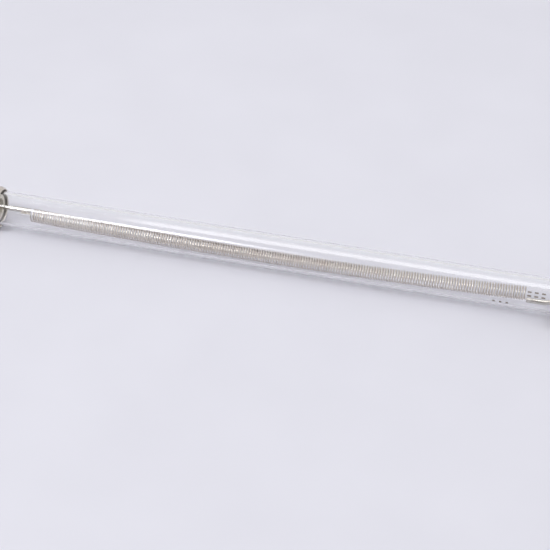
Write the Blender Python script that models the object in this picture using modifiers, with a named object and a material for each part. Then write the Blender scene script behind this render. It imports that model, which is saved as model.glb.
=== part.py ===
"""Clear quartz heating lamp: a spiral of resistance wire in a glass tube with a metal cap at each end.

The lamp lies along X on the plane Z = 0, with its middle at X = 0. Sizes are in metres.
"""
import math

import bmesh
import bpy
from mathutils import Matrix, Vector

# Gap between neighbouring solids
FIT = 0.0003

# Quartz tube
TUBE_LENGTH = 0.208
TUBE_RADIUS = 0.006
TUBE_WALL = 0.001

# Drawn steel cap, crimped over each end of the tube
CAP_OVERLAP = 0.008
CAP_ROOM = 0.0009
CAP_WALL = 0.0005
CAP_CORNER = 0.0012
LIP_BEND = 0.0019

# Steatite bush between tube, cap and stud
SPIGOT_LENGTH = 0.007
SPIGOT_WALL = 0.0014
FLANGE_LENGTH = 0.0064
FLANGE_CHAMFER = 0.0004
NECK_RADIUS = 0.0033
NECK_REACH = 0.002
SEAT_DEPTH = 0.0017

# Terminal stud and its hardware
STUD_RADIUS = 0.002
STUD_CHAMFER = 0.0005
STUD_HEAD_LENGTH = 0.002
STUD_TIP = 0.0026
SOCKET_DEPTH = 0.004
WASHER_RADIUS = 0.0045
WASHER_LENGTH = 0.0008
NUT_FLATS = 0.007
NUT_LENGTH = 0.0032
NUT_FACE_SHARE = 0.96
NUT_CHAMFER_ANGLE = math.radians(30)
TAG_ROOM = 0.0012

# Lead rods
ROD_RADIUS = 0.00085
ROD_BEND_LENGTH = 0.012
ROD_POINTS = 18
LEFT_WELD_ANGLE = math.radians(108)
RIGHT_WELD_ANGLE = math.radians(234)

# Heating coil
COIL_RADIUS = 0.00235
WIRE_RADIUS = 0.000225
COIL_TURNS = 189
LEFT_LEAD = 0.0105
RIGHT_LEAD = 0.0098
LEFT_COIL_DROP = 0.00095
RIGHT_COIL_DROP = 0.0004
TAIL_BEND = 0.0006
TAIL_LENGTH = 0.003

# Facets of the round pieces
LARGE_STEPS = 48
SMALL_STEPS = 24
ARC_STEPS = 3
POINTS_PER_TURN = 6.5
COIL_RESOLUTION = 0
ROD_RESOLUTION = 2
MERGE = 0.00001

# Places along the lamp, as distances from its middle
TUBE_END = TUBE_LENGTH / 2
CAP_MOUTH = TUBE_END - CAP_OVERLAP
FLANGE_START = TUBE_END + FIT
FLANGE_END = FLANGE_START + FLANGE_LENGTH
CAP_INNER_END = FLANGE_END + FIT
CAP_END = CAP_INNER_END + CAP_WALL
NECK_END = CAP_END + NECK_REACH
WASHER_START = NECK_END + FIT
CLAMP_NUT_START = WASHER_START + WASHER_LENGTH + FIT
OUTER_NUT_START = CLAMP_NUT_START + NUT_LENGTH + TAG_ROOM
STUD_END = OUTER_NUT_START + NUT_LENGTH + STUD_TIP
SEAT = FLANGE_START + SEAT_DEPTH
STUD_HEAD_END = SEAT - FIT
STUD_START = STUD_HEAD_END - STUD_HEAD_LENGTH
SOCKET_END = STUD_START + SOCKET_DEPTH

# Radii that follow from the fits
BORE_RADIUS = TUBE_RADIUS - TUBE_WALL
CAP_INNER_RADIUS = TUBE_RADIUS + CAP_ROOM
CAP_RADIUS = CAP_INNER_RADIUS + CAP_WALL
CAP_HOLE_RADIUS = NECK_RADIUS + FIT
SPIGOT_RADIUS = BORE_RADIUS - FIT
SPIGOT_BORE_RADIUS = SPIGOT_RADIUS - SPIGOT_WALL
STUD_HEAD_RADIUS = SPIGOT_BORE_RADIUS - FIT
FLANGE_RADIUS = CAP_INNER_RADIUS - FIT
STUD_HOLE_RADIUS = STUD_RADIUS + FIT
SOCKET_RADIUS = ROD_RADIUS + FIT
AXIS_HEIGHT = CAP_RADIUS * math.cos(math.pi / LARGE_STEPS)

# The coil's winding
COIL_LEFT = -CAP_MOUTH + LEFT_LEAD
COIL_RIGHT = CAP_MOUTH - RIGHT_LEAD
WINDING_RADIUS = COIL_RADIUS - WIRE_RADIUS
LOWEST_DROP = BORE_RADIUS - COIL_RADIUS - FIT


def clear_scene():
    for obj in list(bpy.data.objects):
        bpy.data.objects.remove(obj, do_unlink=True)


def new_collection(name):
    collection = bpy.data.collections.new(name)
    bpy.context.scene.collection.children.link(collection)
    return collection


def material(name, colour, roughness, metallic=0.0, alpha=1.0, transmission=0.0):
    mat = bpy.data.materials.new(name)
    mat.use_nodes = True
    shader = mat.node_tree.nodes["Principled BSDF"]
    shader.inputs["Base Color"].default_value = (*colour, 1.0)
    shader.inputs["Roughness"].default_value = roughness
    shader.inputs["Metallic"].default_value = metallic
    shader.inputs["Alpha"].default_value = alpha
    shader.inputs["Transmission Weight"].default_value = transmission
    mat.diffuse_color = (*colour, alpha)
    return mat


def arc(centre, radius, start, end, steps=ARC_STEPS):
    """Points (radius from the axis, distance along it) on a round corner, from one angle to another."""
    angles = [start + (end - start) * i / steps for i in range(steps + 1)]
    return [(centre[0] + radius * math.cos(a), centre[1] + radius * math.sin(a)) for a in angles]


def end_matrix(side, steps):
    """Turn a piece made along Z to point outwards at one end of the lamp, with a facet underneath."""
    outwards = Matrix.Rotation(side * math.pi / 2, 4, "Y")
    facet_down = Matrix.Rotation(math.pi / steps, 4, "Z")
    return Matrix.Translation((0, 0, AXIS_HEIGHT)) @ outwards @ facet_down


def turned_mesh(name, profile, closed=True):
    """An outline of (radius, distance) points, running down its outer side, for a Screw modifier."""
    mesh = bpy.data.meshes.new(name)
    outline = bmesh.new()
    verts = [outline.verts.new((radius, 0, along)) for radius, along in profile]
    for first, second in zip(verts, verts[1:]):
        outline.edges.new((first, second))
    if closed:
        outline.edges.new((verts[-1], verts[0]))
    outline.to_mesh(mesh)
    outline.free()
    return mesh


def turned_object(name, mesh, steps, matrix, mat, collection):
    obj = bpy.data.objects.new(name, mesh)
    collection.objects.link(obj)
    obj.matrix_world = matrix
    screw = obj.modifiers.new("Turn", "SCREW")
    screw.axis = "Z"
    screw.steps = steps
    screw.render_steps = steps
    screw.use_merge_vertices = True
    screw.merge_threshold = MERGE
    screw.use_smooth_shade = True
    if mat and not mesh.materials:
        mesh.materials.append(mat)
    return obj


def tube_profile():
    return [
        (TUBE_RADIUS, TUBE_END),
        (TUBE_RADIUS, -TUBE_END),
        (BORE_RADIUS, -TUBE_END),
        (BORE_RADIUS, TUBE_END),
    ]


def cap_profile():
    """A deep drawn cup: holed end, rounded corner, straight wall and a mouth rolled in over the tube."""
    corner_inside = CAP_CORNER - CAP_WALL
    corner = (CAP_RADIUS - CAP_CORNER, CAP_END - CAP_CORNER)
    lip_radius = CAP_INNER_RADIUS - LIP_BEND
    lip_turn = math.acos((TUBE_RADIUS + FIT - lip_radius) / LIP_BEND)
    lip = (lip_radius, CAP_MOUTH + (LIP_BEND + CAP_WALL) * math.sin(lip_turn))
    outside = arc(corner, CAP_CORNER, math.pi / 2, 0) + arc(lip, LIP_BEND + CAP_WALL, 0, -lip_turn)
    inside = arc(lip, LIP_BEND, -lip_turn, 0) + arc(corner, corner_inside, 0, math.pi / 2)
    return [(CAP_HOLE_RADIUS, CAP_END)] + outside + inside + [(CAP_HOLE_RADIUS, CAP_INNER_END)]


def bush_profile():
    """Neck, flange and spigot on the outside; a stepped bore for the stud and its head inside."""
    return [
        (NECK_RADIUS, NECK_END),
        (NECK_RADIUS, FLANGE_END),
        (FLANGE_RADIUS - CAP_CORNER, FLANGE_END),
        (FLANGE_RADIUS, FLANGE_END - CAP_CORNER),
        (FLANGE_RADIUS, FLANGE_START + FLANGE_CHAMFER),
        (FLANGE_RADIUS - FLANGE_CHAMFER, FLANGE_START),
        (SPIGOT_RADIUS, FLANGE_START),
        (SPIGOT_RADIUS, FLANGE_START - SPIGOT_LENGTH),
        (SPIGOT_BORE_RADIUS, FLANGE_START - SPIGOT_LENGTH),
        (SPIGOT_BORE_RADIUS, SEAT),
        (STUD_HOLE_RADIUS, SEAT),
        (STUD_HOLE_RADIUS, NECK_END),
    ]


def stud_profile():
    """Threaded shank, head and the blind socket for the lead rod."""
    return [
        (0, STUD_END),
        (STUD_RADIUS - STUD_CHAMFER, STUD_END),
        (STUD_RADIUS, STUD_END - STUD_CHAMFER),
        (STUD_RADIUS, STUD_HEAD_END),
        (STUD_HEAD_RADIUS, STUD_HEAD_END),
        (STUD_HEAD_RADIUS, STUD_START),
        (SOCKET_RADIUS, STUD_START),
        (SOCKET_RADIUS, SOCKET_END),
        (0, SOCKET_END),
    ]


def washer_profile():
    washer_end = WASHER_START + WASHER_LENGTH
    return [
        (WASHER_RADIUS, washer_end),
        (WASHER_RADIUS, WASHER_START),
        (STUD_HOLE_RADIUS, WASHER_START),
        (STUD_HOLE_RADIUS, washer_end),
    ]


def nut_blank_profile(start):
    """A turned ring whose sloping shoulders cut the corners of the hexagon, bored for the stud."""
    end = start + NUT_LENGTH
    corner = NUT_FLATS / 2 / math.cos(math.pi / 6)
    face = NUT_FLATS / 2 * NUT_FACE_SHARE
    shoulder = (corner - face) * math.tan(NUT_CHAMFER_ANGLE)
    return [
        (face, end),
        (corner + FIT, end - shoulder),
        (corner + FIT, start + shoulder),
        (face, start),
        (STUD_HOLE_RADIUS, start),
        (STUD_HOLE_RADIUS, end),
    ]


def hexagon_mesh(name, start):
    """A hexagonal bar, as long as the nut."""
    mesh = bpy.data.meshes.new(name)
    bar = bmesh.new()
    corner = NUT_FLATS / 2 / math.cos(math.pi / 6)
    bmesh.ops.create_cone(
        bar, cap_ends=True, segments=6, radius1=corner, radius2=corner, depth=NUT_LENGTH * 2,
        matrix=Matrix.Translation((0, 0, start + NUT_LENGTH / 2)),
    )
    bar.to_mesh(mesh)
    bar.free()
    return mesh


def nut(name, start, side, mat, parts, tools):
    """A hexagonal bar crossed with a turned and bored ring."""
    matrix = end_matrix(side, SMALL_STEPS)
    ring_mesh = turned_mesh(name + "_ring", nut_blank_profile(start))
    ring = turned_object(name + "_ring", ring_mesh, SMALL_STEPS, matrix, None, tools)
    ring.hide_render = True
    ring.display_type = "WIRE"
    body = bpy.data.objects.new(name, hexagon_mesh(name, start))
    parts.objects.link(body)
    body.matrix_world = matrix
    body.data.materials.append(mat)
    cross = body.modifiers.new("Turned ring", "BOOLEAN")
    cross.operation = "INTERSECT"
    cross.solver = "EXACT"
    cross.object = ring
    return body


def wire_object(name, points, radius, resolution, mat, collection):
    """A round wire along a list of points, with closed ends."""
    curve = bpy.data.curves.new(name, "CURVE")
    curve.dimensions = "3D"
    curve.bevel_depth = radius
    curve.bevel_resolution = resolution
    curve.use_fill_caps = True
    spline = curve.splines.new("POLY")
    spline.points.add(len(points) - 1)
    for point, place in zip(spline.points, points):
        point.co = (*place, 1.0)
    spline.use_smooth = True
    curve.materials.append(mat)
    obj = bpy.data.objects.new(name, curve)
    collection.objects.link(obj)
    return obj


def coil_drop(x):
    """How far the coil's middle hangs below the tube's axis: a parabola that just clears the bore."""
    left = min(LEFT_COIL_DROP, LOWEST_DROP)
    right = min(RIGHT_COIL_DROP, LOWEST_DROP)
    mean = (left + right) / 2
    half_fall = (left - right) / 2
    room = LOWEST_DROP - mean
    sag = (room + math.sqrt(room * room - half_fall * half_fall)) / 2
    along = (2 * x - COIL_LEFT - COIL_RIGHT) / (COIL_RIGHT - COIL_LEFT)
    along = max(-1.0, min(1.0, along))
    return mean - half_fall * along + sag * (1 - along * along)


def on_winding(x, angle):
    """A point on the coil's wire line: angle 0 is at the back, a quarter turn is on top."""
    y = WINDING_RADIUS * math.cos(angle)
    z = WINDING_RADIUS * math.sin(angle)
    return Vector((x, y, AXIS_HEIGHT - coil_drop(x) + z))


def tail_points(x_end, angle_end, side):
    """The wire bends out of its last turn and runs straight along the lead rod."""
    points = []
    for step in (1, 2, 3):
        turn = step * math.pi / 6
        angle = angle_end + side * TAIL_BEND * math.sin(turn) / WINDING_RADIUS
        points.append(on_winding(x_end + side * TAIL_BEND * (1 - math.cos(turn)), angle))
    points.append(points[-1] + Vector((side * TAIL_LENGTH, 0, 0)))
    return points


def coil_points():
    """A right-handed helix along a sagging line, with a straight tail beside each lead rod."""
    beside_rod = ROD_RADIUS + WIRE_RADIUS + FIT
    lap = 2 * math.asin(min(1.0, beside_rod / (2 * WINDING_RADIUS))) + TAIL_BEND / WINDING_RADIUS
    start = LEFT_WELD_ANGLE + lap
    end = RIGHT_WELD_ANGLE - lap + 2 * math.pi * COIL_TURNS
    count = round((end - start) / (2 * math.pi) * POINTS_PER_TURN)
    helix = []
    for i in range(count + 1):
        share = i / count
        x = COIL_LEFT + (COIL_RIGHT - COIL_LEFT) * share
        helix.append(on_winding(x, start + (end - start) * share))
    left_tail = tail_points(COIL_LEFT, start, -1)
    right_tail = tail_points(COIL_RIGHT, end, 1)
    return left_tail[::-1] + helix + right_tail


def rod_points(side):
    """From the weld beside the coil's tail, straight out, then in a gentle bend to the stud's socket."""
    x_coil = COIL_RIGHT if side > 0 else COIL_LEFT
    angle = RIGHT_WELD_ANGLE if side > 0 else LEFT_WELD_ANGLE
    weld = on_winding(x_coil, angle)
    start = abs(x_coil) + WIRE_RADIUS + FIT
    end = SOCKET_END - FIT
    bend_end = STUD_START - FIT
    bend_start = bend_end - ROD_BEND_LENGTH
    points = []
    for i in range(ROD_POINTS):
        reach = start + (end - start) * i / (ROD_POINTS - 1)
        t = max(0.0, min(1.0, (reach - bend_start) / (bend_end - bend_start)))
        keep = 1 - t * t * (3 - 2 * t)
        points.append(Vector((side * reach, weld.y * keep, AXIS_HEIGHT + (weld.z - AXIS_HEIGHT) * keep)))
    return points


def build():
    clear_scene()
    parts = new_collection("quartz_heating_lamp")
    tools = new_collection("cutters")
    quartz = material("clear_quartz", (0.93, 0.95, 0.97), 0.02, alpha=0.35, transmission=1.0)
    bright_wire = material("resistance_wire", (0.62, 0.58, 0.54), 0.25, metallic=1.0)
    rod_metal = material("nickel_rod", (0.72, 0.70, 0.67), 0.22, metallic=1.0)
    nickel = material("nickel_plate", (0.75, 0.72, 0.68), 0.15, metallic=1.0)
    steatite = material("steatite", (0.86, 0.84, 0.78), 0.55)
    zinc = material("zinc_plate", (0.66, 0.67, 0.69), 0.32, metallic=1.0)

    tube_mesh = turned_mesh("quartz_tube", tube_profile())
    turned_object("quartz_tube", tube_mesh, LARGE_STEPS, end_matrix(1, LARGE_STEPS), quartz, parts)
    wire_object("heating_coil", coil_points(), WIRE_RADIUS, COIL_RESOLUTION, bright_wire, parts)

    cap_mesh = turned_mesh("end_cap", cap_profile())
    bush_mesh = turned_mesh("bush", bush_profile())
    stud_mesh = turned_mesh("stud", stud_profile(), closed=False)
    washer_mesh = turned_mesh("washer", washer_profile())
    for side, word in ((-1, "left"), (1, "right")):
        large = end_matrix(side, LARGE_STEPS)
        small = end_matrix(side, SMALL_STEPS)
        turned_object(word + "_end_cap", cap_mesh, LARGE_STEPS, large, nickel, parts)
        turned_object(word + "_bush", bush_mesh, SMALL_STEPS, small, steatite, parts)
        turned_object(word + "_stud", stud_mesh, SMALL_STEPS, small, zinc, parts)
        turned_object(word + "_washer", washer_mesh, SMALL_STEPS, small, zinc, parts)
        nut(word + "_clamp_nut", CLAMP_NUT_START, side, zinc, parts, tools)
        nut(word + "_outer_nut", OUTER_NUT_START, side, zinc, parts, tools)
        wire_object(word + "_lead_rod", rod_points(side), ROD_RADIUS, ROD_RESOLUTION, rod_metal, parts)


build()
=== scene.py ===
# %% [markdown]
# A clear quartz heating lamp. A spiral of resistance wire hangs in a glass tube, a stiff rod carries
# each end of it, and a nickel-plated cap closes each end of the tube over a ceramic bush and a threaded
# stud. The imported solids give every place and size. This lesson dresses them: each piece is remade
# finer with mesh operators, and then gets the finish of the real material.

# %% Load the frame
import math

import bmesh
import bpy
from mathutils import Matrix, Vector


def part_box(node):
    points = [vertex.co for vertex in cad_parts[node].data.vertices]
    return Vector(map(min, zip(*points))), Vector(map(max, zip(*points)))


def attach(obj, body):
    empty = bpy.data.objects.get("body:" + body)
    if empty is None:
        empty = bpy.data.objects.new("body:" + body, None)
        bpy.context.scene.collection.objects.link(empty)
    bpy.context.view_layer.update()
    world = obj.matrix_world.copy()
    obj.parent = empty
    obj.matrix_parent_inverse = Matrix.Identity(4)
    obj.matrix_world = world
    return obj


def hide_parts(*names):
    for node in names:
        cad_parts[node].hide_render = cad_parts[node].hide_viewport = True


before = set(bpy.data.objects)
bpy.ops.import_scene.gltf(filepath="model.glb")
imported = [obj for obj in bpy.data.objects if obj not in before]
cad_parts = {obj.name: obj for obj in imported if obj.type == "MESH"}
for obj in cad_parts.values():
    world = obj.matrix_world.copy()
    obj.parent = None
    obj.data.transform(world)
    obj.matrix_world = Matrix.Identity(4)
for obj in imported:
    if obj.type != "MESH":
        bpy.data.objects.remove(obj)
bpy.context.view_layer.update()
MM = 0.001

# %% [markdown]
# The lamp lies along X. Its two ends are alike, so a place on it is given as a distance from the middle,
# and a side: -1 for the left end, 1 for the right. The sizes are read from the solids' boxes, and the
# walls, fits and roundings that a box can't show are named where they are first needed.

# %% Sizes read from the solids
tube_low, tube_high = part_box("quartz_tube")
cap_low, cap_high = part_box("right_end_cap")
bush_low, bush_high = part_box("right_bush")
stud_low, stud_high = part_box("right_stud")
washer_low, washer_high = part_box("right_washer")
AXIS_Z = (tube_low.z + tube_high.z) / 2
TUBE_END = tube_high.x
TUBE_RADIUS = tube_high.z - AXIS_Z
CAP_MOUTH, CAP_END = cap_low.x, cap_high.x
CAP_RADIUS = cap_high.z - AXIS_Z
FIT = 0.3 * MM
SIDES = {"left": -1, "right": 1}
print("tube", round(2 * TUBE_RADIUS / MM, 2), "mm across,", round(2 * TUBE_END / MM, 1), "mm long")

# %% [markdown]
# The camera stands in front of the lamp, to the right of its middle and well above it, so the tube
# runs gently down to the right and its right end is a little nearer. A long lens keeps the tube's two
# edges almost parallel. The picture's middle is a little in front of the tube.

# %% Camera
PICTURE = 550
ELEVATION = math.radians(36.0)
AZIMUTH = math.radians(15.5)
FOCAL_PIXELS = 2523
PIXELS_PER_METRE = 2980
AIM_X = 0.7 * MM
AIM_PIXELS_BELOW = 23.1
SENSOR_MM = 36.0
NEAR_CLIP = 10 * MM

back = Vector((
    math.sin(AZIMUTH) * math.cos(ELEVATION),
    -math.cos(AZIMUTH) * math.cos(ELEVATION),
    math.sin(ELEVATION),
))
right = Vector((math.cos(AZIMUTH), math.sin(AZIMUTH), 0))
up = back.cross(right)
distance = FOCAL_PIXELS / PIXELS_PER_METRE
camera_data = bpy.data.cameras.new("camera")
camera_data.sensor_width = SENSOR_MM
camera_data.lens = FOCAL_PIXELS * SENSOR_MM / PICTURE
camera = bpy.data.objects.new("camera", camera_data)
bpy.context.scene.collection.objects.link(camera)
aim = Vector((AIM_X, 0, AXIS_Z)) - up * (AIM_PIXELS_BELOW / PIXELS_PER_METRE)
facing = Matrix((right, up, back)).transposed().to_4x4()
camera.matrix_world = Matrix.Translation(aim + back * distance) @ facing
camera_data.clip_start = NEAR_CLIP
bpy.context.scene.camera = camera
print("lens", round(camera_data.lens), "mm, camera", round(distance, 3), "m from the lamp")

# %% [markdown]
# Almost every part here is turned or drawn round, so one helper serves them all: it lays the part's
# section out as a chain of edges and spins it once round the lamp's axis. The other helpers round the
# sharp edges, as tumbling and polishing do, fetch the mesh that a curve or a modifier makes, and put a
# finished mesh on the lamp. Smooth shading averages the directions of faces that meet, which would bend
# the light along a whole tube near a tiny rounding, so the large faces are made to count most.

# %% Helpers for turned parts
SHARP_ANGLE = math.radians(35)
MERGE_DISTANCE = 0.001 * MM


def arc(centre, radius, start, end, steps):
    """Points (along, from axis) on a round corner. An angle of 0 points away from the axis."""
    angles = [start + (end - start) * i / steps for i in range(steps + 1)]
    return [(centre[0] + radius * math.sin(a), centre[1] + radius * math.cos(a)) for a in angles]


def turned(section, side=1, steps=96, closed=True):
    """Spin a section of (along, from axis) points once round the lamp's axis."""
    bm = bmesh.new()
    points = [bm.verts.new((side * along, 0, AXIS_Z + radius)) for along, radius in section]
    edges = [bm.edges.new(pair) for pair in zip(points, points[1:])]
    if closed:
        edges.append(bm.edges.new((points[-1], points[0])))
    bmesh.ops.spin(
        bm, geom=points + edges, cent=(0, 0, AXIS_Z), axis=(1, 0, 0),
        angle=2 * math.pi, steps=steps, use_merge=True,
    )
    bmesh.ops.remove_doubles(bm, verts=bm.verts, dist=MERGE_DISTANCE)
    bmesh.ops.recalc_face_normals(bm, faces=bm.faces)
    return bm


def round_edges(bm, width, segments=2):
    """Round every edge that turns a corner."""
    sharp = [e for e in bm.edges if len(e.link_faces) == 2 and e.calc_face_angle() > SHARP_ANGLE]
    bmesh.ops.bevel(
        bm, geom=sharp, offset=width, offset_type="OFFSET", segments=segments,
        profile=0.5, affect="EDGES", material=-1, clamp_overlap=True,
    )


def new_object(name, bm):
    """Turn a bmesh into an object in the scene."""
    mesh = bpy.data.meshes.new(name)
    bm.to_mesh(mesh)
    bm.free()
    made = bpy.data.objects.new(name, mesh)
    bpy.context.scene.collection.objects.link(made)
    return made


def finished_bmesh(maker):
    """The mesh that a curve or a modifier makes, as a bmesh. The object that made it is deleted."""
    mesh = bpy.data.meshes.new_from_object(maker.evaluated_get(bpy.context.evaluated_depsgraph_get()))
    bpy.data.objects.remove(maker, do_unlink=True)
    bm = bmesh.new()
    bm.from_mesh(mesh)
    bpy.data.meshes.remove(mesh)
    bmesh.ops.remove_doubles(bm, verts=bm.verts, dist=MERGE_DISTANCE)
    return bm


def place(name, bm, slot, replaced=None):
    """Turn a bmesh into a piece of the lamp, smooth but for its true corners. Long faces stay true."""
    piece = new_object(name, bm)
    piece.data.shade_smooth()
    piece.data.set_sharp_from_angle(angle=SHARP_ANGLE)
    true_faces = piece.modifiers.new("Long faces first", "WEIGHTED_NORMAL")
    true_faces.keep_sharp = True
    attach(piece, "root")
    if replaced:
        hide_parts(replaced)
    print(name, len(piece.data.polygons), "faces")
    return piece


# %% [markdown]
# The envelope is drawn quartz tube, cut to length. Its section is a plain rectangle spun round, with the
# cut ends rounded because they are melted smooth in a flame. The inner wall is real geometry and not a
# trick of the shader, because the two walls each throw their own thin reflection.

# %% Quartz tube
TUBE_WALL = 1.0 * MM
MELTED_EDGE = 0.25 * MM
BORE_RADIUS = TUBE_RADIUS - TUBE_WALL

tube_bm = turned([
    (TUBE_END, TUBE_RADIUS),
    (-TUBE_END, TUBE_RADIUS),
    (-TUBE_END, BORE_RADIUS),
    (TUBE_END, BORE_RADIUS),
], steps=360)
round_edges(tube_bm, MELTED_EDGE, segments=4)
quartz_tube = place("clear_tube", tube_bm, "quartz", "quartz_tube")

# %% [markdown]
# The element is one length of wire wound on a mandrel, stretched a little and slid into the tube, where
# it sags until its middle rests near the glass. A Screw modifier could make a helix, but the spin
# operator with a small shift at each step makes one turn of it from the wire's round section, and that
# turn is copied end to end. The sag is then a simple lowering of each point.

# %% Coil sizes and sag
COIL_RADIUS = 2.35 * MM
WIRE_RADIUS = 0.225 * MM
WINDING_RADIUS = COIL_RADIUS - WIRE_RADIUS
LEFT_BARE_ROD, RIGHT_BARE_ROD = 10.5 * MM, 9.8 * MM
COIL_LEFT, COIL_RIGHT = -CAP_MOUTH + LEFT_BARE_ROD, CAP_MOUTH - RIGHT_BARE_ROD
COIL_TURNS = 189
LEFT_DROP, RIGHT_DROP = 0.95 * MM, 0.4 * MM
SAG_ROOM = 0.05 * MM
LOWEST_DROP = BORE_RADIUS - COIL_RADIUS - SAG_ROOM
LEFT_WELD_ANGLE, RIGHT_WELD_ANGLE = math.radians(108), math.radians(234)
ROD_RADIUS = 0.85 * MM
TAIL_BEND = 0.6 * MM
TAIL_LENGTH = 3.0 * MM
WELDED_GAP = 0.02 * MM

beside_rod = ROD_RADIUS + WIRE_RADIUS + WELDED_GAP
tail_angle = 2 * math.asin(beside_rod / (2 * WINDING_RADIUS)) + TAIL_BEND / WINDING_RADIUS
start_angle = LEFT_WELD_ANGLE + tail_angle
end_angle = RIGHT_WELD_ANGLE - tail_angle + 2 * math.pi * COIL_TURNS


def coil_drop(x):
    """How far the coil's middle hangs below the axis at one place: a parabola between its two ends."""
    mean, half_fall = (LEFT_DROP + RIGHT_DROP) / 2, (LEFT_DROP - RIGHT_DROP) / 2
    room = LOWEST_DROP - mean
    sag = (room + math.sqrt(room * room - half_fall * half_fall)) / 2
    along = (2 * x - COIL_LEFT - COIL_RIGHT) / (COIL_RIGHT - COIL_LEFT)
    along = max(-1.0, min(1.0, along))
    return mean - half_fall * along + sag * (1 - along * along)


def on_winding(x, angle):
    """A point on the wire's line. An angle of 0 is at the back of the coil, a quarter turn is on top."""
    return Vector((x, WINDING_RADIUS * math.cos(angle), WINDING_RADIUS * math.sin(angle)))


print("turns", COIL_TURNS, "every", round((COIL_RIGHT - COIL_LEFT) / COIL_TURNS / MM, 2), "mm")

# %% [markdown]
# After the last copy of the turn, one more short step of the same spin takes the wire on to the angle
# where its tail leaves. Each open end is then spun off nearly a quarter turn, which bends it along the
# lamp, and is drawn out into a straight tail beside its rod.

# %% Winding
STEPS_PER_TURN = 32
WIRE_SIDES = 10


def open_ring(bm, x, angle):
    """The open end of the wire nearest to a place on the winding: its verts and edges."""
    centre = on_winding(x, angle)
    edges = [e for e in bm.edges if e.is_boundary and (e.verts[0].co - centre).length < 2 * WIRE_RADIUS]
    return list(dict.fromkeys(v for e in edges for v in e.verts)) + edges


def wind_coil():
    """Spin one turn, lay copies of it end to end, then bend both ends into tails."""
    per_radian = (COIL_RIGHT - COIL_LEFT) / (end_angle - start_angle)
    pitch = 2 * math.pi * per_radian
    slope = math.atan(per_radian / WINDING_RADIUS)
    first = on_winding(COIL_LEFT, start_angle)
    along_wire = Vector((math.sin(slope), 0, 0)) + math.cos(slope) * Vector(
        (0, -math.sin(start_angle), math.cos(start_angle)))
    bm = bmesh.new()
    section = Matrix.Translation(first) @ along_wire.to_track_quat("Z", "Y").to_matrix().to_4x4()
    ring = bmesh.ops.create_circle(bm, segments=WIRE_SIDES, radius=WIRE_RADIUS, matrix=section)["verts"]
    bmesh.ops.spin(
        bm, geom=ring + bm.edges[:], cent=(0, 0, 0), axis=(1, 0, 0),
        angle=2 * math.pi, dvec=(pitch / STEPS_PER_TURN, 0, 0), steps=STEPS_PER_TURN,
    )
    one_turn = bm.verts[:] + bm.edges[:] + bm.faces[:]
    for copy in range(1, COIL_TURNS):
        made = bmesh.ops.duplicate(bm, geom=one_turn)["geom"]
        verts = [g for g in made if isinstance(g, bmesh.types.BMVert)]
        bmesh.ops.translate(bm, verts=verts, vec=(copy * pitch, 0, 0))
    bmesh.ops.remove_doubles(bm, verts=bm.verts, dist=MERGE_DISTANCE)
    rest = end_angle - start_angle - 2 * math.pi * COIL_TURNS
    bmesh.ops.spin(
        bm, geom=open_ring(bm, COIL_RIGHT - rest * per_radian, start_angle), cent=(0, 0, 0), axis=(1, 0, 0),
        angle=rest, dvec=(rest * per_radian, 0, 0), steps=1,
    )
    for side, x, angle in ((-1, COIL_LEFT, start_angle), (1, COIL_RIGHT, end_angle)):
        bent = bmesh.ops.spin(
            bm, geom=open_ring(bm, x, angle), steps=6, angle=math.pi / 2 - slope,
            cent=on_winding(x, angle) + Vector((side * TAIL_BEND, 0, 0)),
            axis=(0, math.cos(angle), math.sin(angle)),
        )["geom_last"]
        tail = bmesh.ops.extrude_edge_only(bm, edges=[g for g in bent if isinstance(g, bmesh.types.BMEdge)])
        tail_verts = [g for g in tail["geom"] if isinstance(g, bmesh.types.BMVert)]
        bmesh.ops.translate(bm, verts=tail_verts, vec=(side * TAIL_LENGTH, 0, 0))
    bmesh.ops.holes_fill(bm, edges=[e for e in bm.edges if e.is_boundary], sides=WIRE_SIDES)
    for vert in bm.verts:
        vert.co.z += AXIS_Z - coil_drop(vert.co.x)
    bmesh.ops.recalc_face_normals(bm, faces=bm.faces)
    return bm


heating_coil = place("wire_coil", wind_coil(), "resistance_wire", "heating_coil")

# %% [markdown]
# A lead rod is cut from stiff nickel wire. It starts beside the coil's tail, runs straight out and bends
# into the stud's socket. It is a curve with a round bevel, made a mesh at once. A small weld joins the
# tail to the rod: a ball of melted metal, drawn out along them.

# %% Lead rods and welds
SOCKET_DEPTH = 4.0 * MM
ROD_BEND_LENGTH = 12.0 * MM
ROD_POINTS = 40
ROD_EDGE = 0.15 * MM
WELD_LENGTH = 1.3 * MM
WELD_RADIUS = 0.34 * MM
WELD_ALONG_TAIL = 0.6
WELD_TOWARDS_ROD = 0.35


def weld_place(side):
    """Where the rod's end lies: on the winding, beside the tail."""
    x, angle = (COIL_RIGHT, RIGHT_WELD_ANGLE) if side > 0 else (COIL_LEFT, LEFT_WELD_ANGLE)
    return on_winding(x, angle) + Vector((0, 0, AXIS_Z - coil_drop(x)))


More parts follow.
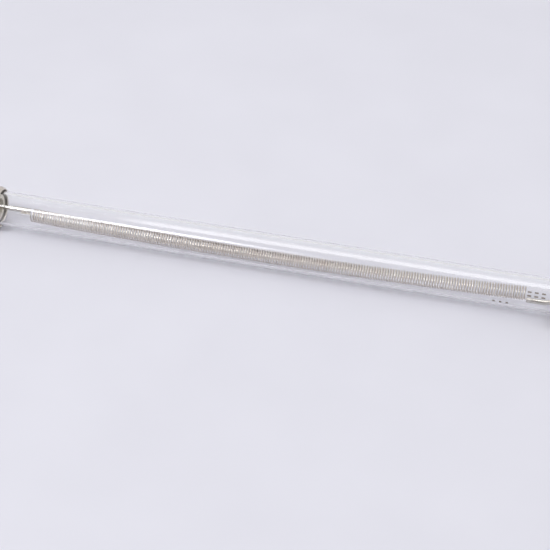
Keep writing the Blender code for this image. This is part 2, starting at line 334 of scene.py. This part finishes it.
def lead_rod(name, side):
    """Sweep a round bar along the rod's line."""
    weld = weld_place(side)
    start = abs(weld.x) + WIRE_RADIUS + FIT
    end = stud_low.x + SOCKET_DEPTH - FIT
    bend_end = stud_low.x - FIT
    bend_start = bend_end - ROD_BEND_LENGTH
    curve = bpy.data.curves.new(name, "CURVE")
    curve.dimensions = "3D"
    curve.bevel_depth = ROD_RADIUS
    curve.bevel_resolution = 6
    curve.use_fill_caps = True
    spline = curve.splines.new("POLY")
    spline.points.add(ROD_POINTS - 1)
    for i, point in enumerate(spline.points):
        reach = start + (end - start) * i / (ROD_POINTS - 1)
        t = max(0.0, min(1.0, (reach - bend_start) / (bend_end - bend_start)))
        keep = 1 - t * t * (3 - 2 * t)
        point.co = (side * reach, weld.y * keep, AXIS_Z + (weld.z - AXIS_Z) * keep, 1)
    swept = bpy.data.objects.new(name + "_line", curve)
    bpy.context.scene.collection.objects.link(swept)
    bm = finished_bmesh(swept)
    bmesh.ops.recalc_face_normals(bm, faces=bm.faces)
    round_edges(bm, ROD_EDGE)
    return bm


def weld_bead(side):
    """A drawn-out ball of metal between the tail and the rod."""
    x, angle = (COIL_RIGHT, end_angle) if side > 0 else (COIL_LEFT, start_angle)
    tail = on_winding(x, angle + side * TAIL_BEND / WINDING_RADIUS)
    tail.z += AXIS_Z - coil_drop(x)
    reach = TAIL_BEND + TAIL_LENGTH * WELD_ALONG_TAIL
    middle = tail.lerp(weld_place(side), WELD_TOWARDS_ROD) + Vector((side * reach, 0, 0))
    bm = bmesh.new()
    bmesh.ops.create_icosphere(bm, subdivisions=3, radius=1.0)
    bmesh.ops.scale(bm, verts=bm.verts, vec=(WELD_LENGTH / 2, WELD_RADIUS, WELD_RADIUS))
    bmesh.ops.translate(bm, verts=bm.verts, vec=middle)
    return bm


rods, welds = [], []
for word, side in SIDES.items():
    rods.append(place(word + "_rod", lead_rod(word + "_rod", side), "lead_rod", word + "_lead_rod"))
    welds.append(place(word + "_weld", weld_bead(side), "lead_rod"))

# %% [markdown]
# The caps are deep-drawn steel cups. Drawing leaves a rounded corner at the end, and the mouth is rolled
# in over the glass, which gives the bright rounded shoulder in the picture. Both bends are arcs in the
# section. The wall stays one thickness all the way, as a drawn sheet does. The mouth is trimmed half a
# millimetre shorter than the solid's, which is where the picture has it.

# %% End caps
CAP_WALL = 0.5 * MM
CAP_CORNER = 1.2 * MM
LIP_BEND = 1.9 * MM
MOUTH_TRIM = 0.5 * MM
NECK_RADIUS = 3.3 * MM
CAP_HOLE_RADIUS = NECK_RADIUS + FIT
BEND_STEPS = 10
SHEARED_EDGE = 0.08 * MM


def cap_section():
    """Out over the cup's end, along to its rolled mouth, and back on the inside."""
    corner = (CAP_END - CAP_CORNER, CAP_RADIUS - CAP_CORNER)
    lip_radius = CAP_RADIUS - CAP_WALL - LIP_BEND
    lip_turn = math.acos((TUBE_RADIUS + FIT - lip_radius) / LIP_BEND)
    lip = (CAP_MOUTH + MOUTH_TRIM + (LIP_BEND + CAP_WALL) * math.sin(lip_turn), lip_radius)
    outside = arc(corner, CAP_CORNER, math.pi / 2, 0, BEND_STEPS)
    outside += arc(lip, LIP_BEND + CAP_WALL, 0, -lip_turn, BEND_STEPS)
    inside = arc(lip, LIP_BEND, -lip_turn, 0, BEND_STEPS)
    inside += arc(corner, CAP_CORNER - CAP_WALL, 0, math.pi / 2, BEND_STEPS)
    return [(CAP_END, CAP_HOLE_RADIUS)] + outside + inside + [(CAP_END - CAP_WALL, CAP_HOLE_RADIUS)]


caps = []
for word, side in SIDES.items():
    cap_bm = turned(cap_section(), side, steps=128)
    round_edges(cap_bm, SHEARED_EDGE)
    caps.append(place(word + "_cap", cap_bm, "end_cap", word + "_end_cap"))

# %% [markdown]
# The bush is pressed from steatite powder and fired. Its spigot centres it in the glass, its flange fills
# the cap, and its neck keeps the live stud clear of the metal. One stepped section, spun, and every edge
# rounded a little, because a pressed edge is never sharp. The neck is a hair thinner than the solid's.

# %% Ceramic bushes
SPIGOT_WALL = 1.4 * MM
SPIGOT_RADIUS = BORE_RADIUS - FIT
STUD_RADIUS = 2.0 * MM
STUD_HOLE_RADIUS = STUD_RADIUS + FIT
FLANGE_START = TUBE_END + FIT
FLANGE_END = CAP_END - CAP_WALL - FIT
FLANGE_RADIUS = CAP_RADIUS - CAP_WALL - FIT
NECK_TRIM = 0.03 * MM
SEAT_DEPTH = 1.7 * MM
SEAT = FLANGE_START + SEAT_DEPTH
PRESSED_EDGE = 0.18 * MM

bush_section = [
    (bush_high.x, NECK_RADIUS - NECK_TRIM),
    (FLANGE_END, NECK_RADIUS - NECK_TRIM),
    (FLANGE_END, FLANGE_RADIUS - CAP_CORNER),
    (FLANGE_END - CAP_CORNER, FLANGE_RADIUS),
    (FLANGE_START, FLANGE_RADIUS),
    (FLANGE_START, SPIGOT_RADIUS),
    (bush_low.x, SPIGOT_RADIUS),
    (bush_low.x, SPIGOT_RADIUS - SPIGOT_WALL),
    (SEAT, SPIGOT_RADIUS - SPIGOT_WALL),
    (SEAT, STUD_HOLE_RADIUS),
    (bush_high.x, STUD_HOLE_RADIUS),
]
bushes = []
for word, side in SIDES.items():
    bush_bm = turned(bush_section, side)
    round_edges(bush_bm, PRESSED_EDGE, segments=3)
    bushes.append(place(word + "_ceramic", bush_bm, "bush", word + "_bush"))

# %% [markdown]
# The stud is a turned and rolled M4 screw: head, shank, and a socket for the lead rod. Its thread has a
# pitch of 0.7 mm. A true helical sweep leaves ragged ends, so the shank is spun with many rows, and each
# point is then moved in or out by the height of the thread at its place, fading out near the head.

# %% Terminal studs
THREAD_PITCH = 0.7 * MM
THREAD_DEPTH = 0.4 * MM
ROWS_PER_PITCH = 8
HEAD_LENGTH = 2.0 * MM
HEAD_RADIUS = 3.0 * MM
TIP_CHAMFER = 0.5 * MM
THREAD_RUNOUT = 1.0 * MM
PLAIN_SHANK = 1.2 * MM
THREAD_START = stud_low.x + HEAD_LENGTH + PLAIN_SHANK
ON_SHANK = 0.01 * MM
STUD_END = stud_high.x


def stud_section():
    """From the tip back along the shank and over the head, into the socket and to the axis."""
    rows = round((STUD_END - TIP_CHAMFER - THREAD_START) / THREAD_PITCH * ROWS_PER_PITCH)
    step = (STUD_END - TIP_CHAMFER - THREAD_START) / rows
    shank = [(STUD_END - TIP_CHAMFER - i * step, STUD_RADIUS) for i in range(rows + 1)]
    head_end = stud_low.x + HEAD_LENGTH
    head = [(head_end, STUD_RADIUS), (head_end, HEAD_RADIUS), (stud_low.x, HEAD_RADIUS)]
    socket = [(stud_low.x, ROD_RADIUS + FIT), (stud_low.x + SOCKET_DEPTH, ROD_RADIUS + FIT)]
    tip = [(STUD_END, 0.0), (STUD_END, STUD_RADIUS - TIP_CHAMFER)]
    return tip + shank + head + socket + [(stud_low.x + SOCKET_DEPTH, 0.0)]


def cut_thread(bm, side):
    """Move each point of the shank by the thread's height there: a triangle wave along a helix."""
    for vert in bm.verts:
        along = side * vert.co.x
        from_axis = Vector((0, vert.co.y, vert.co.z - AXIS_Z))
        if along < THREAD_START - FIT or abs(from_axis.length - STUD_RADIUS) > ON_SHANK:
            continue
        turn = math.atan2(from_axis.z, from_axis.y) / (2 * math.pi)
        wave = abs(((along / THREAD_PITCH - side * turn) % 1.0) * 2 - 1)
        fade = max(0.0, min(1.0, (along - THREAD_START) / THREAD_RUNOUT))
        from_axis *= 1 - THREAD_DEPTH * wave * fade / STUD_RADIUS
        vert.co = Vector((vert.co.x, from_axis.y, AXIS_Z + from_axis.z))


studs = []
for word, side in SIDES.items():
    stud_bm = turned(stud_section(), side, steps=64, closed=False)
    cut_thread(stud_bm, side)
    studs.append(place(word + "_screw", stud_bm, "terminal", word + "_stud"))

# %% [markdown]
# Washers are punched from sheet, so their edges are a little rolled over. A hexagonal nut is a slice of
# hexagonal bar with both faces turned to a cone, which leaves the curved corners that every nut has.
# Crossing a hexagonal bar with a turned, bored ring gives those curves for free.

# %% Washers and nuts
NUT_FLATS = 7.0 * MM
NUT_FACE_SHARE = 0.96
NUT_CONE = math.radians(30)
NUT_CORNER = NUT_FLATS / 2 / math.cos(math.pi / 6)
BORE_CHAMFER = 0.35 * MM
THREAD_PLAY = 0.02 * MM
PUNCHED_EDGE = 0.15 * MM

hardware = []
for word, side in SIDES.items():
    washer_bm = turned([
        (washer_high.x, washer_high.z - AXIS_Z),
        (washer_low.x, washer_high.z - AXIS_Z),
        (washer_low.x, STUD_HOLE_RADIUS),
        (washer_high.x, STUD_HOLE_RADIUS),
    ], side)
    round_edges(washer_bm, PUNCHED_EDGE, segments=3)
    hardware.append(place(word + "_flat_washer", washer_bm, "terminal", word + "_washer"))


def hexagonal_nut(start, end, side):
    """A hexagonal bar crossed with a ring that has coned shoulders and a chamfered bore."""
    face = NUT_FLATS / 2 * NUT_FACE_SHARE
    fall = (NUT_CORNER + FIT - face) * math.tan(NUT_CONE)
    bore, lead_in = STUD_RADIUS + THREAD_PLAY, STUD_RADIUS + BORE_CHAMFER
    ring_bm = turned([
        (end, face),
        (end - fall, NUT_CORNER + FIT),
        (start + fall, NUT_CORNER + FIT),
        (start, face),
        (start, lead_in),
        (start + BORE_CHAMFER, bore),
        (end - BORE_CHAMFER, bore),
        (end, lead_in),
    ], side, steps=72)
    bar_bm = bmesh.new()
    middle = Matrix.Translation((side * (start + end) / 2, 0, AXIS_Z))
    bmesh.ops.create_cone(
        bar_bm, cap_ends=True, segments=6, radius1=NUT_CORNER, radius2=NUT_CORNER,
        depth=2 * (end - start), matrix=middle @ Matrix.Rotation(math.pi / 2, 4, "Y"),
    )
    ring, bar = new_object("turned_ring", ring_bm), new_object("hexagonal_bar", bar_bm)
    cross = bar.modifiers.new("Turned ring", "BOOLEAN")
    cross.operation = "INTERSECT"
    cross.solver = "EXACT"
    cross.object = ring
    bm = finished_bmesh(bar)
    bpy.data.objects.remove(ring, do_unlink=True)
    return bm


for word, side in SIDES.items():
    for kind in ("clamp", "outer"):
        low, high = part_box("right_%s_nut" % kind)
        nut_bm = hexagonal_nut(low.x, high.x, side)
        name = "%s_%s_hexnut" % (word, kind)
        hardware.append(place(name, nut_bm, "terminal", "%s_%s_nut" % (word, kind)))

# %% [markdown]
# Grey ink is stamped on the glass near the right end. Here it is a plain mark with no meaning, three
# pairs of short bars. The three single dots lower down beside them are painted shadow of the print, laid
# on the glass in the ink's colour. Each bar and dot is a thin grid, given the thickness of the ink and
# bent round the tube, so that it stays a separate, closed layer on the glass.

# %% Stamped mark and its painted shadow
MARK_X = 88.1 * MM
MARK_ANGLE = math.radians(33)
BAR_LENGTH, BAR_WIDTH = 1.3 * MM, 0.55 * MM
BAR_STEP, ROW_STEP = 2.35 * MM, 1.25 * MM
# Painted shadow of the print: three dots lower on the tube, made like the bars and coloured as ink.
PAINTED_SHADOW_X, PAINTED_SHADOW_STEP = 76.6 * MM, 2.2 * MM
PAINTED_SHADOW_ANGLE = math.radians(-10)
PAINTED_SHADOW_LENGTH, PAINTED_SHADOW_WIDTH = 0.85 * MM, 0.65 * MM
INK_THICKNESS = 0.02 * MM
INK_LIFT = 0.002 * MM


def bar_on_glass(bm, x, angle, length, width):
    """A bar of print or a dot of painted shadow, bent round the tube at an angle above its front."""
    made = bmesh.ops.create_grid(bm, x_segments=4, y_segments=4, size=0.5)["verts"]
    faces = list(dict.fromkeys(f for v in made for f in v.link_faces))
    raised = bmesh.ops.extrude_face_region(bm, geom=faces)["geom"]
    top = [g for g in raised if isinstance(g, bmesh.types.BMVert)]
    bmesh.ops.translate(bm, verts=top, vec=(0, 0, 1))
    for vert in made + top:
        along, around, layer = vert.co
        radius = TUBE_RADIUS + INK_LIFT + INK_THICKNESS * layer
        turn = angle + around * width / TUBE_RADIUS
        vert.co = (x + along * length, -radius * math.cos(turn), AXIS_Z + radius * math.sin(turn))


mark_and_shadow_bm = bmesh.new()
for column in range(3):
    for row in (-1, 1):
        turn = MARK_ANGLE + row * ROW_STEP / 2 / TUBE_RADIUS
        bar_on_glass(mark_and_shadow_bm, MARK_X + column * BAR_STEP, turn, BAR_LENGTH, BAR_WIDTH)
    # The dot under each column is painted shadow of the print.
    bar_on_glass(mark_and_shadow_bm, PAINTED_SHADOW_X + column * PAINTED_SHADOW_STEP, PAINTED_SHADOW_ANGLE, PAINTED_SHADOW_LENGTH, PAINTED_SHADOW_WIDTH)
bmesh.ops.recalc_face_normals(mark_and_shadow_bm, faces=mark_and_shadow_bm.faces)
stamped_mark_and_painted_shadow = place("stamped_mark_and_painted_shadow", mark_and_shadow_bm, "quartz")

# %% [markdown]
# Finishes. Every material starts from what the real one is. One small function adds a node with its
# settings, another turns the hex colours of a paint chart into the linear values that shaders use, and a
# third starts a material with its main shader. Patterns lie on the lamp's own coordinates, so they stay
# where they are on it, and their sizes are given in millimetres.

# %% Helpers for materials
def colour(hex_text):
    """A hex colour as linear red, green, blue and alpha."""
    parts = [int(hex_text[i:i + 2], 16) / 255 for i in (1, 3, 5)]
    linear = [p / 12.92 if p <= 0.04045 else ((p + 0.055) / 1.055) ** 2.4 for p in parts]
    return (*linear, 1.0)


def add(tree, kind, inputs=None, **settings):
    """Add a node. An input is either a value or the socket that feeds it."""
    node = tree.nodes.new(kind)
    for key, value in settings.items():
        setattr(node, key, value)
    for socket, value in (inputs or {}).items():
        if isinstance(value, bpy.types.NodeSocket):
            tree.links.new(value, node.inputs[socket])
        else:
            node.inputs[socket].default_value = value
    return node


def new_material(name, **shader_inputs):
    """Start a material. Gives it, its node tree and its main shader."""
    material = bpy.data.materials.new(name)
    material.use_nodes = True
    tree = material.node_tree
    shader = tree.nodes["Principled BSDF"]
    for key, value in shader_inputs.items():
        shader.inputs[key.replace("_", " ")].default_value = value
    return material, tree, shader


def feed(tree, shader, **sources):
    """Let other nodes set sockets of the main shader."""
    for key, source in sources.items():
        tree.links.new(source, shader.inputs[key.replace("_", " ")])


def every(along, across=None):
    """The scale of a pattern that repeats about every so many millimetres, along and across the lamp."""
    across = across or along
    return (1 / (along * MM), 1 / (across * MM), 1 / (across * MM))


def lamp_place(tree, scale):
    """Object coordinates, centred on the lamp's axis and multiplied by a scale for each direction."""
    coordinates = add(tree, "ShaderNodeTexCoord").outputs["Object"]
    return add(tree, "ShaderNodeMapping", {
        "Vector": coordinates, "Location": (0, 0, -AXIS_Z * scale[2]), "Scale": scale,
    }).outputs["Vector"]


def two_tints(tree, pattern, dark, pale, start=0.0, end=1.0):
    """A colour that goes from dark to pale while a pattern goes from start to end."""
    share = add(tree, "ShaderNodeMapRange", {
        "Value": pattern, "From Min": start, "From Max": end,
    }).outputs["Result"]
    return add(tree, "ShaderNodeMix", {0: share, 6: dark, 7: pale}, data_type="RGBA").outputs[2]


def finish_with(material, *pieces):
    """Give one material to all of these pieces."""
    for piece in pieces:
        piece.data.materials.append(material)
    print(material.name, "on", ", ".join(piece.name for piece in pieces))


# %% [markdown]
# Fused quartz, drawn as tube. It is clearer than window glass and bends light a little less: its index
# is 1.458. Drawing leaves faint lines along the tube, about a millimetre apart with finer ones between,
# which make its reflections waver. Lamps and soft light from the floor pass straight through, because a
# path tracer finds light that is bent twice only by luck. A wall takes a little of it, which gives the
# soft shadow.

# %% Fused quartz
quartz, tree, shader = new_material(
    "fused_quartz", Base_Color=colour("#FFFFFF"), Roughness=0.02, IOR=1.458, Transmission_Weight=1.0)
draw_lines = add(tree, "ShaderNodeTexNoise", {
    "Vector": lamp_place(tree, every(83, 1.11)), "Scale": 1.0, "Detail": 2.0,
}).outputs["Fac"]
feed(tree, shader, Normal=add(tree, "ShaderNodeBump", {
    "Height": draw_lines, "Strength": 0.12, "Distance": 0.02 * MM,
}).outputs["Normal"])
light_path = add(tree, "ShaderNodeLightPath")
passes = add(tree, "ShaderNodeMath", {
    0: light_path.outputs["Is Shadow Ray"], 1: light_path.outputs["Is Diffuse Ray"],
}, operation="MAXIMUM").outputs["Value"]
clear = add(tree, "ShaderNodeBsdfTransparent", {"Color": colour("#FAFAFB")}).outputs["BSDF"]
glass = add(tree, "ShaderNodeMixShader", {0: passes, 1: shader.outputs["BSDF"], 2: clear})
tree.links.new(glass.outputs["Shader"], tree.nodes["Material Output"].inputs["Surface"])
finish_with(quartz, quartz_tube)

# %% [markdown]
# Iron-chromium-aluminium resistance wire, drawn bright. It is a warm grey metal. The furnace leaves a
# faint straw tint in patches, a few turns long. The die's scratches are too fine to show at this size.

# %% Resistance wire
wire, tree, shader = new_material("bright_resistance_wire", Metallic=1.0)
patches = add(tree, "ShaderNodeTexNoise", {
    "Vector": lamp_place(tree, every(3.85)), "Scale": 1.0, "Detail": 3.0,
}).outputs["Fac"]
tint = two_tints(tree, patches, colour("#CEC5BD"), colour("#DBD6D1"), 0.35, 0.65)
dulling = add(tree, "ShaderNodeMapRange", {"Value": patches, "To Min": 0.28, "To Max": 0.34})
feed(tree, shader, Base_Color=tint, Roughness=dulling.outputs["Result"])
finish_with(wire, heating_coil)

# %% [markdown]
# Nickel rod, drawn and straightened. It is smoother and whiter than the coil, with scratches some eight
# millimetres long and a fifth of a millimetre apart.

# %% Drawn nickel rod
rod_metal, tree, shader = new_material("drawn_nickel_rod", Metallic=1.0)
scratches = add(tree, "ShaderNodeTexNoise", {
    "Vector": lamp_place(tree, every(8.3, 0.2)), "Scale": 1.0, "Detail": 2.0,
}).outputs["Fac"]
tint = two_tints(tree, scratches, colour("#C4BFB8"), colour("#DEDBD6"))
dulling = add(tree, "ShaderNodeMapRange", {"Value": scratches, "To Min": 0.16, "To Max": 0.28})
scored = add(tree, "ShaderNodeBump", {"Height": scratches, "Strength": 0.3, "Distance": 0.01 * MM})
feed(tree, shader, Base_Color=tint, Roughness=dulling.outputs["Result"], Normal=scored.outputs["Normal"])
finish_with(rod_metal, *rods)

# %% [markdown]
# The weld is wire and rod melted together in air. A grey oxide stays on it, so it is much duller than
# both, and mottled where the oxide is thicker.

# %% Oxidised weld
weld_metal, tree, shader = new_material("oxidised_weld", Metallic=1.0)
oxide = add(tree, "ShaderNodeTexNoise", {
    "Vector": lamp_place(tree, every(0.4)), "Scale": 1.0, "Detail": 3.0,
}).outputs["Fac"]
tint = two_tints(tree, oxide, colour("#7F7A75"), colour("#A09B95"))
dulling = add(tree, "ShaderNodeMapRange", {"Value": oxide, "To Min": 0.42, "To Max": 0.6})
feed(tree, shader, Base_Color=tint, Roughness=dulling.outputs["Result"])
finish_with(weld_metal, *welds)

# %% [markdown]
# Polished nickel plate on drawn steel. Nickel is a slightly yellow mirror. Barrel polishing leaves tiny
# scratches with no direction, about a tenth of a millimetre apart, and handling dulls it in patches.
# Neither reaches the inside of the cup, which keeps the dull surface that the plating bath left. The
# inside is also painted paler than the outside: painted light, lifting it out of the shade in the cup.
# The inside is where the surface faces the axis.

# %% Nickel plate
DULL_ROUGHNESS = 0.62
nickel, tree, shader = new_material("polished_nickel_plate", Metallic=1.0)
handling = add(tree, "ShaderNodeTexNoise", {
    "Vector": lamp_place(tree, every(5.55)), "Scale": 1.0, "Detail": 4.0,
}).outputs["Fac"]
polish = add(tree, "ShaderNodeTexNoise", {
    "Vector": lamp_place(tree, every(0.111)), "Scale": 1.0, "Detail": 2.0,
}).outputs["Fac"]
facing_out = add(tree, "ShaderNodeVectorMath", {
    0: lamp_place(tree, (0, 1, 1)), 1: add(tree, "ShaderNodeNewGeometry").outputs["True Normal"],
}, operation="DOT_PRODUCT").outputs["Value"]
inside = add(tree, "ShaderNodeMath", {0: facing_out, 1: 0.0}, operation="LESS_THAN").outputs["Value"]
outer_tint = two_tints(tree, handling, colour("#D2C8BE"), colour("#E1DBD3"), 0.3, 0.7)
# Painted light: the inside gets a paler colour than the outside, to lift it out of the cup's shade.
tint = add(tree, "ShaderNodeMix", {
    0: inside, 6: outer_tint, 7: colour("#F0EBE4"),
}, data_type="RGBA").outputs[2]
outer_dulling = add(tree, "ShaderNodeMapRange", {"Value": handling, "To Min": 0.18, "To Max": 0.27})
dulling = add(tree, "ShaderNodeMix", {
    0: inside, 2: outer_dulling.outputs["Result"], 3: DULL_ROUGHNESS,
}).outputs[0]
scored = add(tree, "ShaderNodeBump", {"Height": polish, "Strength": 0.05, "Distance": 0.01 * MM})
feed(tree, shader, Base_Color=tint, Roughness=dulling, Normal=scored.outputs["Normal"])
finish_with(nickel, *caps)

# %% [markdown]
# Steatite, a soapstone ceramic, pressed and fired without glaze. It is cream white, dull, and faintly
# grained like an eggshell, with grains of about 0.2 mm and a few darker specks.

# %% Steatite
steatite, tree, shader = new_material("unglazed_steatite", IOR=1.55)
grain = add(tree, "ShaderNodeTexNoise", {
    "Vector": lamp_place(tree, every(0.2)), "Scale": 1.0, "Detail": 3.0,
}).outputs["Fac"]
from_speck = add(tree, "ShaderNodeTexVoronoi", {
    "Vector": lamp_place(tree, every(0.714)), "Scale": 1.0,
}).outputs["Distance"]
speck = add(tree, "ShaderNodeMapRange", {
    "Value": from_speck, "From Min": 0.1, "From Max": 0.2, "To Min": 1.0, "To Max": 0.0,
}).outputs["Result"]
tint = add(tree, "ShaderNodeMix", {
    0: speck, 6: two_tints(tree, grain, colour("#D9D3C4"), colour("#EAE6DA"), 0.3, 0.7), 7: colour("#B7AD99"),
}, data_type="RGBA").outputs[2]
dulling = add(tree, "ShaderNodeMapRange", {"Value": grain, "To Min": 0.5, "To Max": 0.7})
grained = add(tree, "ShaderNodeBump", {"Height": grain, "Strength": 0.35, "Distance": 0.03 * MM})
feed(tree, shader, Base_Color=tint, Roughness=dulling.outputs["Result"], Normal=grained.outputs["Normal"])
finish_with(steatite, *bushes)

# %% [markdown]
# Zinc plate on the studs, nuts and washers, passivated clear. It is a cool grey metal, duller than
# nickel, with a spangle of about half a millimetre.

# %% Zinc plate
zinc, tree, shader = new_material("zinc_plate", Metallic=1.0)
crystals = add(tree, "ShaderNodeTexVoronoi", {
    "Vector": lamp_place(tree, every(0.5)), "Scale": 1.0,
}).outputs["Color"]
spangle = add(tree, "ShaderNodeRGBToBW", {"Color": crystals}).outputs["Val"]
tint = two_tints(tree, spangle, colour("#A9ADB1"), colour("#C6C9CC"))
dulling = add(tree, "ShaderNodeMapRange", {"Value": spangle, "To Min": 0.26, "To Max": 0.42})
stepped = add(tree, "ShaderNodeBump", {"Height": spangle, "Strength": 0.15, "Distance": 0.02 * MM})
feed(tree, shader, Base_Color=tint, Roughness=dulling.outputs["Result"], Normal=stepped.outputs["Normal"])
finish_with(zinc, *studs, *hardware)

# %% [markdown]
# The ink is a grey-brown ceramic colour, fired on. It is matt, and thin enough to be uneven. The
# dots of painted shadow near it take the same colour.

# %% Fired ink, also on the painted shadow
ink, tree, shader = new_material("fired_ink_and_painted_shadow", Roughness=0.55)
unevenness = add(tree, "ShaderNodeTexNoise", {
    "Vector": lamp_place(tree, every(0.286)), "Scale": 1.0, "Detail": 3.0,
}).outputs["Fac"]
feed(tree, shader, Base_Color=two_tints(tree, unevenness, colour("#77706A"), colour("#A39C95")))
finish_with(ink, stamped_mark_and_painted_shadow)

# %% [markdown]
# The lamp lies on a plain matt board in a pale, cool grey, very faintly clouded. The board is a wide disc,
# so that it fills the picture from any side.

# %% Board
BOARD_RADIUS = 4.0
board_bm = bmesh.new()
bmesh.ops.create_circle(board_bm, cap_ends=True, segments=96, radius=BOARD_RADIUS)
board = new_object("board", board_bm)
matt, tree, shader = new_material("matt_board", Roughness=0.9, Specular_IOR_Level=0.2)
clouds = add(tree, "ShaderNodeTexNoise", {
    "Vector": lamp_place(tree, every(40)), "Scale": 1.0, "Detail": 2.0,
}).outputs["Fac"]
feed(tree, shader, Base_Color=two_tints(tree, clouds, colour("#D8D8E1"), colour("#DBDBE4"), 0.3, 0.7))
finish_with(matt, board)

# %% [markdown]
# Light. Two soft boxes stand for the two bright stripes on the glass: a wide one overhead, and a
# stronger one farther off at the front left. A stripe on a round tube lies where the surface faces half
# way between the eye and the box, so each box's angle comes from where its stripe lies. The boxes fade
# towards their edges, as cloth in front of a lamp does, so that the stripes end softly. Lengths here are
# in metres.

# %% Soft boxes
def edge_fade(tree, place, share):
    """1 in the middle of a box's face, falling smoothly to 0 at both edges. Place runs from 0 to 1."""
    from_middle = add(tree, "ShaderNodeMath", {0: place, 1: 0.5}, operation="SUBTRACT").outputs["Value"]
    from_middle = add(tree, "ShaderNodeMath", {0: from_middle}, operation="ABSOLUTE").outputs["Value"]
    return add(tree, "ShaderNodeMapRange", {
        "Value": from_middle, "From Min": 0.5 - share, "From Max": 0.5, "To Min": 1.0, "To Max": 0.0,
    }, interpolation_type="SMOOTHSTEP").outputs["Result"]


def soft_box(name, above_front, distance, x_from, x_to, width, radiance, length_fade, width_fade):
    """A box at an angle in degrees above the front, in the plane across the tube, facing the tube."""
    data = bpy.data.lights.new(name, "AREA")
    data.shape = "RECTANGLE"
    data.size = x_to - x_from
    data.size_y = width
    data.energy = radiance * 4 * data.size * data.size_y
    data.use_nodes = True
    tree = data.node_tree
    face = add(tree, "ShaderNodeSeparateXYZ", {
        "Vector": add(tree, "ShaderNodeNewGeometry").outputs["Parametric"],
    }).outputs
    fades = {0: edge_fade(tree, face["X"], length_fade), 1: edge_fade(tree, face["Y"], width_fade)}
    fade = add(tree, "ShaderNodeMath", fades, operation="MULTIPLY").outputs["Value"]
    tree.links.new(fade, tree.nodes["Emission"].inputs["Strength"])
    box = bpy.data.objects.new(name, data)
    bpy.context.scene.collection.objects.link(box)
    angle = math.radians(above_front)
    outward = Vector((0, -math.cos(angle), math.sin(angle)))
    across = Vector((0, math.sin(angle), math.cos(angle)))
    turn = Matrix((Vector((1, 0, 0)), across, outward)).transposed().to_4x4()
    middle = Vector(((x_from + x_to) / 2, 0, AXIS_Z)) + outward * distance
    box.matrix_world = Matrix.Translation(middle) @ turn
    print(name, round(data.energy, 2), "W")


soft_box(
    "overhead_box", above_front=95.5, distance=1.0, x_from=-0.36, x_to=0.62, width=0.56,
    radiance=2.35, length_fade=0.05, width_fade=0.12,
)
soft_box(
    "front_left_box", above_front=51.0, distance=1.6, x_from=-1.74, x_to=-0.27, width=0.54,
    radiance=9.0, length_fade=0.2, width_fade=0.3,
)

# %% [markdown]
# The world is pale behind the lamp and to its right, and dark in front of it and to its left, like a room
# lit from one corner. Its pale side fills the tube's far edge, and its dark side gives the spiral and the
# cap their contrast. To the camera it shows the grey of the lit board instead, so that the board has no
# visible end.

# %% World
DARK_SIDE = (0.21, 0.20, 0.19, 1)
PALE_SIDE = (0.80, 0.80, 0.82, 1)
DARK_UNTIL, PALE_FROM = 0.1, 0.65
LIT_BOARD = colour("#E1E1EA")

world = bpy.data.worlds.new("studio")
bpy.context.scene.world = world
world.use_nodes = True
tree = world.node_tree
direction = add(tree, "ShaderNodeSeparateXYZ", {
    "Vector": add(tree, "ShaderNodeTexCoord").outputs["Generated"],
}).outputs
to_pale_side = add(tree, "ShaderNodeMath", {
    0: direction["X"], 1: direction["Y"],
}, operation="MAXIMUM").outputs["Value"]
sky = two_tints(tree, to_pale_side, DARK_SIDE, PALE_SIDE, DARK_UNTIL, PALE_FROM)
seen = add(tree, "ShaderNodeLightPath").outputs["Is Camera Ray"]
shown = add(tree, "ShaderNodeMix", {0: seen, 6: sky, 7: LIT_BOARD}, data_type="RGBA")
tree.links.new(shown.outputs[2], tree.nodes["Background"].inputs["Color"])
bpy.context.scene.view_settings.view_transform = "Standard"
print("sky from", DARK_SIDE[:3], "to", PALE_SIDE[:3])
